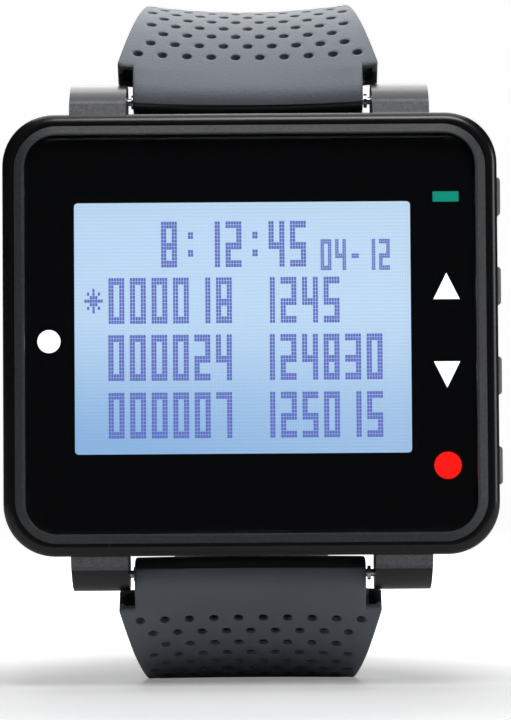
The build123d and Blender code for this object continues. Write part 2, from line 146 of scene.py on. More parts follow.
def lamp(name, place, size, power, aim=(0, 0, 0.035)):
    """A square soft lamp at place, turned to aim."""
    light = bpy.data.objects.new(name, bpy.data.lights.new(name, "AREA"))
    light.data.energy = power
    light.data.size = size
    light.location = place
    toward = Vector(aim) - Vector(place)
    light.rotation_euler = toward.to_track_quat("-Z", "Y").to_euler()
    scene.collection.objects.link(light)


lamp("lamp_key", (0.06, -0.34, 0.42), 0.22, 1.3)
lamp("lamp_top", (0.0, 0.10, 0.55), 0.50, 1.3)
lamp("lamp_back", (0.0, 0.45, 0.40), 0.40, 1.4)
lamp("lamp_right", (0.50, -0.16, 0.10), 0.20, 0.5)
world = bpy.data.worlds.new("studio")
world.use_nodes = True
world.node_tree.nodes["Background"].inputs["Color"].default_value = (0.80, 0.86, 1.0, 1)
world.node_tree.nodes["Background"].inputs["Strength"].default_value = 0.02
scene.world = world

# ---- front housing ----
# One moulding in black glass-filled plastic: a sloping rim round the window, a plain side wall and
# four lugs. The rim and the lugs' sloping faces are textured; the side wall and lug ends are smooth.
# Its two effects serve the other pieces too: a colour that drifts from place to place, and a fine
# grain, as a spark-eroded mould leaves it.
def maths(tree, operation, *values, clamp=False):
    """Result of a Math node on its values."""
    return put(tree, "Math", dict(enumerate(values)), operation=operation, use_clamp=clamp).outputs[0]


def open_group(name, inputs, outputs):
    """A shader node group with the named sockets: its tree, its input node and its output node."""
    tree = bpy.data.node_groups.new(name, "ShaderNodeTree")
    for label, kind, value in inputs:
        socket = tree.interface.new_socket(label, in_out="INPUT", socket_type="NodeSocket" + kind)
        if value is not None:
            socket.default_value = value
    for label, kind in outputs:
        tree.interface.new_socket(label, in_out="OUTPUT", socket_type="NodeSocket" + kind)
    return tree, tree.nodes.new("NodeGroupInput"), tree.nodes.new("NodeGroupOutput")


def drift_group():
    """Colour times one plus a slow noise; the same noise also moves the roughness."""
    tree, given, result = open_group("colour_drift", [
        ("Place", "Vector", None), ("Colour", "Color", (0.5, 0.5, 0.5, 1)), ("Size", "Float", 0.004),
        ("Amount", "Float", 0.1), ("Roughness", "Float", 0.5)], [("Colour", "Color"), ("Roughness", "Float")])
    often = maths(tree, "DIVIDE", 1.0, given.outputs["Size"])
    noise = put(tree, "TexNoise", {"Vector": given.outputs["Place"], "Scale": often, "Detail": 4.0})
    centred = maths(tree, "SUBTRACT", noise.outputs["Fac"], 0.5)
    moved = maths(tree, "MULTIPLY_ADD", centred, given.outputs["Amount"], 1.0)
    tint = put(tree, "VectorMath", {0: given.outputs["Colour"]}, operation="SCALE")
    tree.links.new(moved, tint.inputs["Scale"])
    tree.links.new(tint.outputs[0], result.inputs["Colour"])
    rough = maths(tree, "MULTIPLY", given.outputs["Roughness"], moved, clamp=True)
    tree.links.new(rough, result.inputs["Roughness"])
    return tree


def grain_group():
    """Height of a fine pebbled grain: a soft noise at Size, and cells at twice Size for the pits."""
    tree, given, result = open_group("fine_grain", [
        ("Place", "Vector", None), ("Size", "Float", 0.0002)], [("Height", "Float")])
    often = maths(tree, "DIVIDE", 1.0, given.outputs["Size"])
    noise = put(tree, "TexNoise", {"Vector": given.outputs["Place"], "Scale": often, "Detail": 2.0})
    half = maths(tree, "MULTIPLY", often, 0.5)
    cells = put(tree, "TexVoronoi", {"Vector": given.outputs["Place"], "Scale": half})
    both = maths(tree, "MULTIPLY_ADD", cells.outputs["Distance"], 0.6, noise.outputs["Fac"])
    tree.links.new(both, result.inputs["Height"])
    return tree


DRIFT = drift_group()
GRAIN = grain_group()


def surface(name, colour, rough, grain=0.0, size=0.25, drift=0.2, stretch=(1, 1, 1), **sockets):
    """A material of one colour with drift, and grain of a depth and size in mm; stretch lines it up."""
    material, out = blank(name)
    tree = material.node_tree
    place = put(tree, "TexCoord").outputs["Object"]
    if stretch != (1, 1, 1):
        place = put(tree, "Mapping", {"Vector": place, "Scale": stretch}).outputs[0]
    soft = put(tree, "Group", {}, node_tree=DRIFT)
    tree.links.new(place, soft.inputs["Place"])
    soft.inputs["Colour"].default_value = (*colour, 1)
    soft.inputs["Amount"].default_value = drift
    soft.inputs["Roughness"].default_value = rough
    named = {key.replace("_", " "): value for key, value in sockets.items()}
    shade = put(tree, "BsdfPrincipled", {
        "Base Color": soft.outputs["Colour"], "Roughness": soft.outputs["Roughness"], **named})
    if grain:
        fine = put(tree, "Group", {}, node_tree=GRAIN)
        tree.links.new(place, fine.inputs["Place"])
        fine.inputs["Size"].default_value = size * MM
        bump = put(tree, "Bump", {"Height": fine.outputs["Height"], "Strength": 1.0, "Distance": grain * MM})
        tree.links.new(bump.outputs[0], shade.inputs["Normal"])
    tree.links.new(shade.outputs["BSDF"], out.inputs["Surface"])
    return material


def paint(material, *names):
    """Gives CAD nodes a material."""
    for name in names:
        NODES[name].data.materials.clear()
        NODES[name].data.materials.append(material)


LUG_SMOOTH = 24.45 * MM                         # from the head's centre to where a lug's face ends
RIM_BACK = 0.62 * MM
CASE_HALF = 23.03 * MM                          # from the head's centre to the side wall's top
SMOOTH_BLACK = (0.004, 0.004, 0.0045, 1)
RIM_BLACK = (0.038, 0.041, 0.045, 1)
LUG_BLACK = (0.098, 0.104, 0.115, 1)


def housing_material():
    """Textured where a point is on the rim or on a lug's face, smooth elsewhere, by its place."""
    material, out = blank("housing_plastic")
    tree = material.node_tree
    place = put(tree, "TexCoord").outputs["Object"]
    axis = put(tree, "SeparateXYZ", {0: place})
    up = maths(tree, "SUBTRACT", axis.outputs["Z"], HEAD_Z)
    high = maths(tree, "ABSOLUTE", up)
    lug_end = maths(tree, "GREATER_THAN", high, LUG_SMOOTH)
    lug = maths(tree, "GREATER_THAN", high, CASE_HALF)
    lug_face = maths(tree, "SUBTRACT", lug, lug_end, clamp=True)
    rim = maths(tree, "LESS_THAN", axis.outputs["Y"], FRONT_Y + RIM_BACK)
    rough_part = maths(tree, "MAXIMUM", lug_face, rim)
    fine = put(tree, "Group", {}, node_tree=GRAIN)
    tree.links.new(place, fine.inputs["Place"])
    fine.inputs["Size"].default_value = 0.16 * MM
    height = maths(tree, "MULTIPLY", fine.outputs["Height"], rough_part)
    bump = put(tree, "Bump", {"Height": height, "Strength": 1.0, "Distance": 0.035 * MM})
    rough = put(tree, "Mix", {"Factor": rough_part})
    rough.inputs["A"].default_value, rough.inputs["B"].default_value = 0.27, 0.55
    plain = put(tree, "Mix", {0: rim, 6: SMOOTH_BLACK, 7: RIM_BLACK}, data_type="RGBA")
    colour = put(tree, "Mix", {0: lug_face, 6: plain.outputs[2], 7: LUG_BLACK}, data_type="RGBA")
    soft = put(tree, "Group", {}, node_tree=DRIFT)
    tree.links.new(place, soft.inputs["Place"])
    tree.links.new(rough.outputs["Result"], soft.inputs["Roughness"])
    speck = put(tree, "MapRange", {
        "Value": fine.outputs["Height"], "From Min": 0.4, "From Max": 0.9, "To Min": 0.65, "To Max": 1.35})
    mottled = put(tree, "VectorMath", {0: colour.outputs[2]}, operation="SCALE")
    tree.links.new(speck.outputs[0], mottled.inputs["Scale"])
    tree.links.new(mottled.outputs[0], soft.inputs["Colour"])
    shade = put(tree, "BsdfPrincipled", {
        "Base Color": soft.outputs["Colour"], "Roughness": soft.outputs["Roughness"],
        "Normal": bump.outputs[0]})
    tree.links.new(shade.outputs["BSDF"], out.inputs["Surface"])
    return material


paint(housing_material(), "front_housing")

# ---- rear cover, gasket and screws ----
# The back shell is the same plastic with a coarser, duller grain. A black rubber ring seals it, and
# four steel pan-head screws hold it.
paint(surface("cover_plastic", (0.03, 0.032, 0.035), 0.55, grain=0.03, size=0.35), "rear_cover")
paint(surface("seal_rubber", (0.018, 0.018, 0.02), 0.8, grain=0.02, size=0.3), "case_gasket", "motor_cradle")
paint(surface("screw_steel", (0.55, 0.55, 0.56), 0.3, grain=0.01, size=0.1, Metallic=1.0), "case_screws")

# ---- window ----
# A clear plate with polished faces and a small bevel. Its back carries a black mask, a white dot, two
# white triangles, a red disc and a green strip over the status light.
def clear_plate(name, rough):
    """Polished plate that bends no light: lamps reach the print behind it."""
    material, out = blank(name)
    tree = material.node_tree
    place = put(tree, "TexCoord").outputs["Object"]
    noise = put(tree, "TexNoise", {"Vector": place, "Scale": 90.0, "Detail": 3.0})
    haze = put(tree, "MapRange", {"Value": noise.outputs["Fac"], "To Min": rough, "To Max": rough + 0.03})
    glass = put(tree, "BsdfPrincipled", {
        "Base Color": (0.97, 0.98, 1.0, 1), "Roughness": haze.outputs[0], "IOR": 1.49,
        "Transmission Weight": 1.0})
    through = put(tree, "BsdfTransparent", {"Color": (0.93, 0.94, 0.96, 1)})
    rays = put(tree, "LightPath")
    mix = put(tree, "MixShader", {
        0: rays.outputs["Is Shadow Ray"], 1: glass.outputs[0], 2: through.outputs[0]})
    tree.links.new(mix.outputs[0], out.inputs["Surface"])
    return material


paint(clear_plate("window_plate", 0.01), "window_lens")
paint(surface("mask_ink", (0.002, 0.002, 0.002), 0.2, drift=0.3, Specular_IOR_Level=0.1), "window_mask")
# Painted glow: the white and red print glow a little on top of their own colour.
paint(surface("print_white", (0.62, 0.64, 0.66), 0.5, drift=0.04, Emission_Color=(0.9, 0.95, 1, 1),
              Emission_Strength=0.6), "key_symbols")
paint(surface("print_red", (0.60, 0.008, 0.004), 0.5, drift=0.06, Emission_Color=(0.8, 0.010, 0.005, 1),
              Emission_Strength=0.55), "stop_symbol")
paint(surface("light_green", (0.004, 0.28, 0.20), 0.4, drift=0.3, size=0.1,
              Emission_Color=(0.004, 0.28, 0.20, 1), Emission_Strength=0.5), "led_window")
paint(surface("light_body", (0.5, 0.8, 0.65), 0.3, drift=0.1), "status_led")

# ---- display ----
# A dot-matrix liquid crystal cell of 120 by 64 dots on a blue backlight. Unlit dots show as a faint
# grid; lit dots are blue-violet. The message is digits only.
CELL_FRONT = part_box("lcd_front_glass")[0].y
DOT_W, DOT_H = 0.28 * MM, 0.37 * MM
VIEW_MID = (-0.8 * MM, HEAD_Z + 0.6 * MM)
VIEW_HALF = (17.45 * MM, 13.05 * MM)


def lit_display():
    """Backlight colour from four corners, times a fine grid of gaps between the dots."""
    material, out = blank("lit_display")
    tree = material.node_tree
    place = put(tree, "SeparateXYZ", {0: put(tree, "TexCoord").outputs["Object"]})
    across = put(tree, "MapRange", {
        "Value": place.outputs["X"], "From Min": VIEW_MID[0] - VIEW_HALF[0],
        "From Max": VIEW_MID[0] + VIEW_HALF[0]}, interpolation_type="SMOOTHSTEP")
    up = put(tree, "MapRange", {
        "Value": place.outputs["Z"], "From Min": VIEW_MID[1] - VIEW_HALF[1],
        "From Max": VIEW_MID[1] + VIEW_HALF[1] * 0.25}, interpolation_type="SMOOTHSTEP")

    def blend_colours(factor, a, b):
        mix = put(tree, "Mix", {"Factor": factor}, data_type="RGBA")
        for socket, value in zip((mix.inputs[6], mix.inputs[7]), (a, b)):
            if isinstance(value, bpy.types.NodeSocket):
                tree.links.new(value, socket)
            else:
                socket.default_value = (*value, 1)
        return mix.outputs[2]

    low = blend_colours(across.outputs[0], (0.27, 0.47, 0.75), (0.36, 0.55, 0.80))
    high = blend_colours(across.outputs[0], (0.53, 0.72, 0.92), (0.56, 0.74, 0.93))
    glow = blend_colours(up.outputs[0], low, high)
    gaps = []
    for axis, origin, pitch in (("X", VIEW_MID[0], DOT_W), ("Z", VIEW_MID[1], DOT_H)):
        steps = maths(tree, "SUBTRACT", place.outputs[axis], origin)
        steps = maths(tree, "DIVIDE", steps, pitch)
        part = maths(tree, "FRACT", steps)
        gaps.append(maths(tree, "LESS_THAN", part, 0.16))
    gap = maths(tree, "MAXIMUM", *gaps)
    dim = put(tree, "MapRange", {"Value": gap, "To Min": 0.97, "To Max": 1.12})
    glow = put(tree, "VectorMath", {0: glow}, operation="SCALE")
    tree.links.new(dim.outputs[0], glow.inputs["Scale"])
    shade = put(tree, "BsdfPrincipled", {
        "Base Color": (0.02, 0.03, 0.05, 1), "Roughness": 0.35, "Emission Color": glow.outputs[0],
        "Emission Strength": 1.0})
    tree.links.new(shade.outputs["BSDF"], out.inputs["Surface"])
    return material


paint(lit_display(), "lcd_front_glass")
paint(surface("rear_glass", (0.3, 0.45, 0.6), 0.15, drift=0.1), "lcd_rear_glass")
paint(surface("backlight_plate", (0.75, 0.85, 0.95), 0.4, drift=0.05), "lcd_backlight")
paint(surface("white_moulding", (0.78, 0.78, 0.76), 0.5, grain=0.02), "lcd_frame", "battery_socket",
      *[f"switch_plunger_{i}" for i in range(1, 5)])
paint(surface("flex_film", (0.45, 0.22, 0.03), 0.35, drift=0.3, stretch=(8, 1, 1)), "lcd_flex")

CELL = (8, 16)                                  # dots in one character's cell, with its gaps
STROKES = {                                     # the seven strokes of a digit, in dots: x0, x1, z0, z1
    "a": (1, 6, 13, 14), "b": (5, 6, 8, 14), "c": (5, 6, 2, 8), "d": (1, 6, 2, 3),
    "e": (1, 2, 2, 8), "f": (1, 2, 8, 14), "g": (1, 6, 7, 8)}
DIGITS = dict(zip("0123456789", "abcdef bc abdeg abcdg bcfg acdfg acdefg abc abcdefg abcdfg".split()))
ROWS_Z = [HEAD_Z + z * MM for z in (9.2, 3.35, -2.6, -8.6)]
MESSAGE = ((0, 8.7, "8:12:45", 1.0), (0, 25.4, "04-12", 0.68), (1, 0.95, "*000018 1245", 1.0),
           (2, 3.15, "000024 124830", 1.0), (3, 3.15, "000007 125015", 1.0))


def dots_of(sign):
    """Cells of a character's lit dots, as an 8 by 16 mask."""
    mask = np.zeros(CELL, bool)
    for stroke in DIGITS.get(sign, ""):
        x0, x1, z0, z1 = STROKES[stroke]
        mask[x0:x1 + 1, z0:z1 + 1] = True
    if sign == ":":
        mask[3:5, 5:7] = mask[3:5, 10:12] = True
    if sign == "-":
        mask[2:6, 7:9] = True
    if sign == "*":
        x, z = np.indices(CELL)
        dx, dz = abs(x - 3), abs(z - 8)
        mask |= (dx + dz <= 3) & (dx * dz == 0) | (dx == dz) & (dx < 3)
    return mask


def display_dots():
    """Every lit dot as a thin plate: corners of a unit cube times the dot's size, plus its place."""
    centres, scales = [], []
    for row, start, text, scale in MESSAGE:
        for i, sign in enumerate(text):
            x, z = np.nonzero(dots_of(sign))
            left = VIEW_MID[0] - VIEW_HALF[0] + (start * MM + (i * CELL[0]) * DOT_W * scale)
            foot = ROWS_Z[row] + (0.5 - 8) * DOT_H - 0.3 * MM * (scale < 1)
            centres.append(np.c_[left + (x + 0.5) * DOT_W * scale, foot + (z + 1 - scale) * DOT_H * scale])
            scales.append(np.full(len(x), scale))
    centres, scales = np.concatenate(centres), np.concatenate(scales)
    cube = np.array([(x, y, z) for x in (-1, 1) for y in (-1, 1) for z in (-1, 1)]) / 2
    size = np.stack([0.86 * DOT_W * scales, 0 * scales + 0.04 * MM, 0.88 * DOT_H * scales], -1)
    middle = np.stack([centres[:, 0], 0 * scales + CELL_FRONT - 0.02 * MM, centres[:, 1]], -1)
    points = cube[None] * size[:, None] + middle[:, None]
    sides = np.array([(0, 1, 3, 2), (4, 6, 7, 5), (0, 4, 5, 1), (2, 3, 7, 6), (0, 2, 6, 4), (1, 5, 7, 3)])
    faces = (sides[None] + 8 * np.arange(len(middle))[:, None, None]).reshape(-1, 4)
    return points.reshape(-1, 3), faces


def solid(name, points, faces, body, slot, material, stands_for=(), angle=35):
    """Makes a closed mesh piece: merges doubles, turns faces outwards, shades it and gives it its body."""
    mesh = bpy.data.meshes.new(name)
    mesh.from_pydata(points.tolist(), [], [list(face) for face in faces])
    shell = bmesh.new()
    shell.from_mesh(mesh)
    bmesh.ops.remove_doubles(shell, verts=shell.verts, dist=1e-7)
    bmesh.ops.recalc_face_normals(shell, faces=shell.faces)
    shell.to_mesh(mesh)
    shell.free()
    mesh.shade_smooth()
    mesh.set_sharp_from_angle(angle=radians(angle))
    piece = bpy.data.objects.new(name, mesh)
    scene.collection.objects.link(piece)
    piece.data.materials.append(material)
    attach(piece, body)
    if stands_for:
        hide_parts(*stands_for)
    return piece


lit_dots = surface("lit_dots", (0.02, 0.02, 0.06), 0.5, drift=0.1, Emission_Color=(0.10, 0.13, 0.50, 1),
                   Emission_Strength=1.0)
solid("display_dots", *display_dots(), "head", "lcd_glass", lit_dots)

# ---- electronics ----
# A green board with black chips, a tinned shield, a ferrite aerial with its copper winding, a brass
# buzzer disc and four gilt charging contacts.
paint(surface("board_mask", (0.008, 0.11, 0.035), 0.35, grain=0.01, size=0.5, drift=0.5), "main_board")
paint(surface("chip_resin", (0.02, 0.02, 0.022), 0.6, grain=0.01, size=0.08), "microcontroller", "lcd_driver",
      "small_components", *[f"side_switch_{i}" for i in range(1, 5)])
paint(surface("tinned_sheet", (0.62, 0.62, 0.60), 0.35, grain=0.01, size=0.2, stretch=(1, 1, 10),
              Metallic=1.0), "radio_receiver", "crystal", "motor_can")
paint(surface("ferrite", (0.03, 0.03, 0.032), 0.75, grain=0.02, size=0.15), "antenna_rod")
paint(surface("copper_winding", (0.72, 0.26, 0.10), 0.3, grain=0.06, size=0.12, stretch=(1, 0.01, 0.01),
              Metallic=1.0), "antenna_coil")
paint(surface("brass_disc", (0.72, 0.50, 0.20), 0.3, grain=0.008, size=0.2, Metallic=1.0), "buzzer")
paint(surface("gilt", (0.85, 0.62, 0.26), 0.2, grain=0.005, size=0.2, Metallic=1.0), "charge_contacts")

# ---- battery ----
# A flat lithium cell in a dull foil pouch, with a red and a black lead.
paint(surface("cell_foil", (0.55, 0.56, 0.58), 0.4, grain=0.03, size=1.2, Metallic=0.9), "battery")
paint(surface("red_sleeve", (0.55, 0.015, 0.012), 0.4, grain=0.005), "battery_lead_red")
paint(surface("black_sleeve", (0.012, 0.012, 0.013), 0.4, grain=0.005), "battery_lead_black")

# ---- motor weight ----
# A sintered tungsten half-round that spins off centre on the motor's shaft.
paint(surface("sintered_weight", (0.38, 0.37, 0.36), 0.5, grain=0.02, size=0.1, Metallic=1.0), "motor_rotor")

# ---- side keys ----
# Four grey moulded keys with a fine grain, worn a little smoother than the case.
paint(surface("key_plastic", (0.19, 0.192, 0.188), 0.5, grain=0.02, size=0.2, drift=0.25),
      *[f"side_button_{i}" for i in range(1, 5)])

# ---- spring bars ----
# Turned stainless tubes; a sprung tip at each end snaps into its lug. The turning marks run round them.
turned = surface("turned_steel", (0.66, 0.66, 0.66), 0.22, grain=0.012, size=0.5, stretch=(12, 1, 1),
                 Metallic=1.0)
paint(turned, "spring_bar_upper", "spring_bar_lower", "buckle_bar",
      *[f"bar_tip_{row}_{side}" for row in ("upper", "lower") for side in ("left", "right")])
paint(surface("spring_wire", (0.5, 0.5, 0.5), 0.3, grain=0.05, size=0.5, stretch=(8, 1, 1), Metallic=1.0),
      "bar_spring_upper", "bar_spring_lower")

# ---- strap ----
# Each half is one piece of moulded rubber. It is widest at the shoulders beside the lugs, tapers round
# the wrist, and carries rows of round blind dimples; a barrel between the lugs holds the spring bar.
THICK = 3.2
NEAR_R, NEAR_Y, NEAR_Z = 28.4, 29.3, 7.4        # bend beside the lugs, from the head's centre
BAR_Y, BAR_Z = 8.0, 25.0                        # the spring bar's axis
BEND_START = np.degrees(np.arctan2(BAR_Z - NEAR_Z, BAR_Y - NEAR_Y))
SHOULDER = BEND_START - np.degrees(2.42 / np.hypot(BAR_Z - NEAR_Z, BAR_Y - NEAR_Y))
MEET = 139.55                                   # where the bend runs over into the barrel, degrees
BARREL_HALF, BARREL_EASE = 12.15, 0.3           # the barrel's half-length and its ends' rounding
OVER_R, UNDER_Y, UNDER_Z = 2.5, 2.05, 1.68      # radius over the barrel, and half-axes of its underside
PARTING = 24.38                                 # height of the barrel's parting line
FAR_R = (JOINT["buckle_swing"]["pos_m"][1] - JOINT["keeper_slide"]["pos_m"][1]) / MM
PITCH, ROW_PITCH, RING = 2.6, 2.25, 6           # dimples: across, between rows, grid steps to a cell's edge
FIRST_ROW = {1: 2.2, -1: 1.86}                  # from the shoulder to the first row
RING_R = np.array([0, 0.26, 0.465, 0.525, 0.61, 0.82, 1.0])
RING_DEEP = np.array([1.3, 1.3, 1.25, 0.06, 0, 0, 0])
EDGE = 0.3                                      # rounding along the outer edges
# The second colour is the glossy band's own dark tone; it is also laid as painted shade in the shoulder
# hollows and the lower dimples.
RUBBER, POLISH_AND_SHADE = (0.186, 0.211, 0.244, 1), (0.032, 0.035, 0.040, 1)
BOW = {1: 0.45, -1: 0.15}                       # the barrel bows away from the head towards its ends
SADDLE = {1: 0.8, -1: 0.5}                      # rise of the outer face from its middle to its edges
SIDE_PLAY = {1: -0.12, -1: -0.2}                # both halves sit a little to one side between their lugs


def follow(stretches, start, heading):
    """Side path of a strap: the heading turns by length over radius, and the place is the running sum
    of its cosine and sine. Returns outer length, y, z and heading on a fine grid."""
    step = 0.02
    turn = np.concatenate([np.full(round(length / step), 1 / radius) for length, radius in stretches])
    angle = radians(heading) - np.r_[0, np.cumsum(turn)] * step
    middle = (angle[1:] + angle[:-1]) / 2
    y = start[0] + np.r_[0, np.cumsum(np.cos(middle))] * step
    z = start[1] + np.r_[0, np.cumsum(np.sin(middle))] * step
    outer = np.r_[0, np.cumsum(1 + turn * THICK / 2)] * step
    return outer, y, z, angle


def place_points(path, side, s, x, lift):
    """Points at outer length s, x across, and lift out from the strap's middle surface."""
    outer, y, z, angle = path
    angle_here = np.interp(s, outer, angle)
    along = np.interp(s, outer, y) - lift * np.sin(angle_here)
    up = np.interp(s, outer, z) + lift * np.cos(angle_here)
    x, along, up = np.broadcast_arrays(x + SIDE_PLAY[side], along, up)
    return np.stack([x * MM, FRONT_Y + along * MM, HEAD_Z + side * up * MM], -1)


def dimple_grid(rows, first):
    """Grid over the dimpled stretch. Each dimple owns a square cell of the grid, whose square rings are
    drawn onto circles: two rings on the floor, one at the lip, one round it, then back to the square."""
    count = 2 * RING * rows + 1
    i, c = np.meshgrid(np.arange(count), np.arange(-60, 61), indexing="ij")
    row = np.minimum(i // (2 * RING), rows - 1)
    dimples = np.where(row == 0, 10, np.where(row % 2 == 1, np.where(row > 8, 7, 9), 8))
    shift = np.where(dimples % 2 == 1, 0, RING)
    di = (c - shift + RING) % (2 * RING) - RING
    dj = i - (2 * RING * row + RING)
    unit = PITCH / (2 * RING)
    centre = (c - di) * unit
    owned = abs(centre) < PITCH * dimples / 2
    ring = np.where(owned, np.maximum(abs(di), abs(dj)), RING)
    angle = np.arctan2(dj, di)
    x, s = di * unit, dj * ROW_PITCH / (2 * RING)
    blend = np.clip((RING - ring) / 2, 0, 1)
    x = blend * RING_R[ring] * np.cos(angle) + (1 - blend) * x
    s = blend * RING_R[ring] * np.sin(angle) + (1 - blend) * s
    s = s + first + ROW_PITCH * row
    return centre + x, s, np.where(ring <= 4, RING_DEEP[ring], 0)


def band(path, side, length, half, saddle, rows, ends, x_mid=0.0, start=0.0):
    """Closed loops of a strap band: outer face with its dimples, rounded edge, inner face, other edge.
    half and saddle are functions of the length along; ends are the rounding radii in thickness. A
    dimpled band starts with two loops sunk into its end, which hollow it for the lug."""
    first = FIRST_ROW[side]
    lead = np.r_[0.02, 0.1, 0.25, 0.45]
    if rows:
        lead = np.r_[0.7, 0.05, lead, first - ROW_PITCH / 2 - 0.12]
    dimple_end = first + ROW_PITCH * (rows - 0.5) if rows else 0.6
    plain = np.linspace(dimple_end, length - 2.0, int((length - dimple_end) / 0.7) + 2)[1 if rows else 0:]
    tail = length - ends[1] * (1 - np.sin(np.linspace(0.1, 1, 9) * np.pi / 2)) - 0.005
    tail = tail[tail > length - 2.0]
    across = np.arange(-60, 61) * PITCH / (2 * RING)
    columns = len(across)

    def plain_rows(lengths):
        shape = len(lengths), columns
        return np.broadcast_to(across, shape), np.repeat(lengths[:, None], columns, 1), np.zeros(shape)

    grids = [plain_rows(lead)]
    if rows:
        grids.append(dimple_grid(rows, first))
    grids.append(plain_rows(np.r_[plain, tail]))
    x, s, deep = (np.concatenate(part) for part in zip(*grids))
    station = s[:, 0]
    inset = []
    for radius, gap in ((ends[0], station), (ends[1], length - station)):
        near = np.clip(1 - gap / radius, 0, 1)
        inset.append(radius * (1 - np.sqrt(1 - near ** 2)))
    thin = THICK / 2 - inset[0] - np.minimum(inset[1], THICK / 2 - 0.1)
    wide = half(station + start) - np.minimum(inset[0], 0.45) - 0.15 * np.minimum(inset[1], 0.5)
    if rows:
        thin[:2], wide[:2] = 0.9, wide[2] - 0.3
    curl = saddle(station + start)
    reach = wide - EDGE
    keep = reach - 0.12
    span = across[-1]
    if rows:
        past = (abs(x) - keep[:, None]) * (reach - keep)[:, None] / (span - keep)[:, None]
        squeezed = np.where(abs(x) > keep[:, None], keep[:, None] + past, abs(x))
    else:
        squeezed = abs(x) * (reach / span)[:, None]
    x = np.sign(x) * squeezed
    rise = curl[:, None] * (x / wide[:, None]) ** 2
    front = place_points(path, side, s + start, x + x_mid, thin[:, None] + rise - deep)
    turn = np.linspace(0, np.pi / 2, 5)[1:]
    soft = np.minimum(EDGE, thin)[:, None]
    corner_x = reach[:, None] + EDGE * np.sin(turn)
    corner_out = thin[:, None] - soft * (1 - np.cos(turn)) + curl[:, None]
    corner_in = corner_out[:, ::-1] * -1 + 2 * curl[:, None]
    edge_x = np.concatenate([corner_x, corner_x[:, ::-1]], 1)
    edge_lift = np.concatenate([corner_out, corner_in], 1)
    here = station[:, None] + start
    right = place_points(path, side, here, edge_x + x_mid, edge_lift)
    inner_x = np.linspace(1, -1, 25) * reach[:, None]
    inner_lift = curl[:, None] * (inner_x / wide[:, None]) ** 2 - thin[:, None]
    inner = place_points(path, side, here, inner_x + x_mid, inner_lift)
    left = place_points(path, side, here, -edge_x[:, ::-1] + x_mid, edge_lift[:, ::-1])
    return np.concatenate([front, right, inner, left], 1)


def closed(loops, base=0):
    """Points and faces of a tube of loops with a flat face on each end."""
    count, around = loops.shape[:2]
    index = base + np.arange(count * around).reshape(count, around)
    beside = np.roll(index, -1, 1)
    quads = np.stack([index[:-1], beside[:-1], beside[1:], index[1:]], -1).reshape(-1, 4)
    return loops.reshape(-1, 3), quads.tolist() + [index[0].tolist(), index[-1].tolist()]


def joined(*tubes):
    """Several closed tubes as one set of points and faces."""
    points, faces = [], []
    for loops in tubes:
        more, some = closed(loops, sum(map(len, points)))
        points.append(more)
        faces += some
    return np.concatenate(points), faces


def tongue(side):
    """Barrel between the lugs: an outline carried across, raised by the saddle towards both ends. The
    outline follows the outer bend, rounds over to the raised parting line, curls under, and goes back
    along the inner bend. It starts under the strap's own skin, a hair above it where both meet."""
    out_r, in_r = NEAR_R + THICK / 2, NEAR_R - THICK / 2
    sweep_out = np.radians(np.r_[SHOULDER - 2.03, np.linspace(SHOULDER - 2, MEET - 0.5, 10)])
    over = np.r_[-0.1, np.full(10, 0.008)]
    skin_r = out_r + over
    outline = [np.c_[NEAR_Y + skin_r * np.cos(sweep_out), NEAR_Z + skin_r * np.sin(sweep_out)]]
    turn = np.radians(np.linspace(MEET, 197.5, 20))
    over_y = NEAR_Y + (out_r - OVER_R) * np.cos(turn[0])
    over_z = NEAR_Z + (out_r - OVER_R) * np.sin(turn[0])
    outline.append(np.c_[over_y + OVER_R * np.cos(turn), over_z + OVER_R * np.sin(turn)])
    outline.append(np.array([(6.00, 24.44), (6.03, 24.38), (6.14, 24.33)]))
    turn = np.radians(np.linspace(203, 280, 18))
    outline.append(np.c_[BAR_Y + 0.1 + UNDER_Y * np.cos(turn), BAR_Z - 0.1 + UNDER_Z * np.sin(turn)])
    outline.append(np.array([(9.3, 23.15), (9.9, 24.0)]))
    sweep_in = np.radians(np.linspace(BEND_START - 1, SHOULDER - 2, 8))
    outline.append(np.c_[NEAR_Y + in_r * np.cos(sweep_in), NEAR_Z + in_r * np.sin(sweep_in)])
    outline = np.concatenate(outline)
    half, ease = BARREL_HALF, BARREL_EASE
    corner = np.radians(np.array([0, 30, 60, 90]))
    x = np.r_[half - ease * (1 - np.sin(corner)), np.linspace(half - ease, 0, 12)[1:-1]]
    x = np.sort(np.r_[-x, x])
    inset = ease * (1 - np.sqrt(1 - np.clip((abs(x) - half + ease) / ease, 0, 1) ** 2))
    away = outline - outline.mean(0)
    away /= np.linalg.norm(away, axis=1)[:, None]
    flat = outline[None] - away[None] * inset[:, None, None]
    share = np.clip((np.hypot(flat[..., 0] - NEAR_Y, flat[..., 1] - NEAR_Z) - in_r) / THICK, 0, 1)
    share = np.clip((flat[..., 0] - 6.0) / 1.6, 0, 1) * share
    bow = (BOW[side] + (SADDLE[side] - BOW[side]) * share) * (x[:, None] / 13.8) ** 2
    across = np.broadcast_to(x[:, None] + SIDE_PLAY[side], flat.shape[:2])
    lift_y, lift_z = bow * cos(radians(SHOULDER)) * share, bow * (1 - 0.3 * share)
    return np.stack([across * MM, FRONT_Y + (flat[..., 0] + lift_y) * MM,
                     HEAD_Z + side * (flat[..., 1] + lift_z) * MM], -1)


